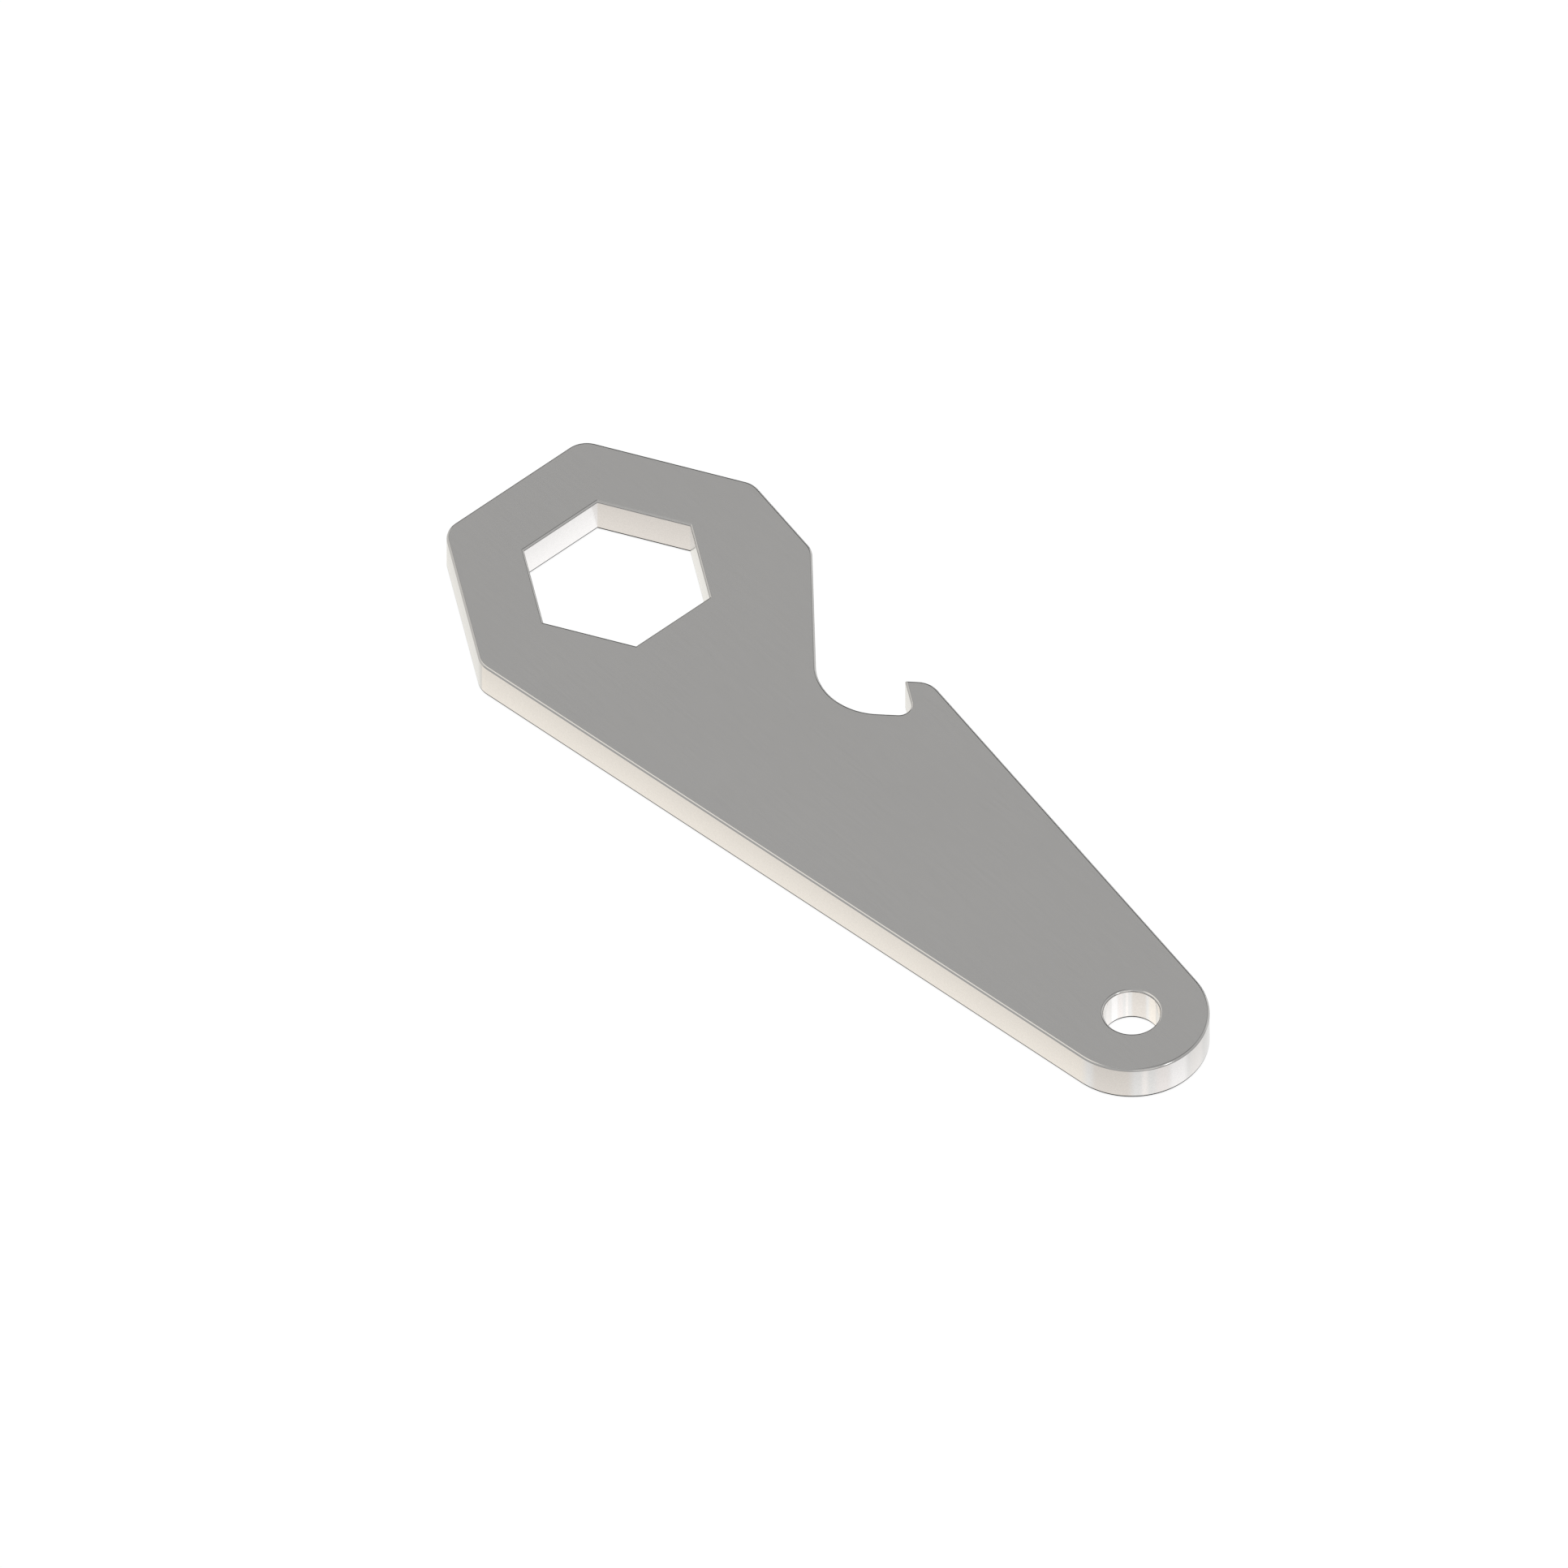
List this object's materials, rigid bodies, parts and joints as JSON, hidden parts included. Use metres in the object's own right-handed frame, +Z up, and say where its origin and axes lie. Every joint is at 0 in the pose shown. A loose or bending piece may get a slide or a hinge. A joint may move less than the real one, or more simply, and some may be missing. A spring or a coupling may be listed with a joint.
{
  "type": "keychain bottle opener with nut wrench",
  "caption": "flat steel keychain tool with a hexagonal nut socket in its head, a hooked crown cap notch in one side, and a tapered body ending in a round tail with a key ring hole",
  "frame": {"origin": "middle of the bottom face's bounding box", "axes": "+X from the hexagonal head to the tail, +Y towards the notch side, +Z up through the plate"},
  "size_m": [0.0782, 0.028, 0.0032],
  "materials": {
    "steel": "satin stainless steel with softly broken edges"
  },
  "bodies": {
    "root": {"opener_plate": "steel"}
  },
  "joints": []
}
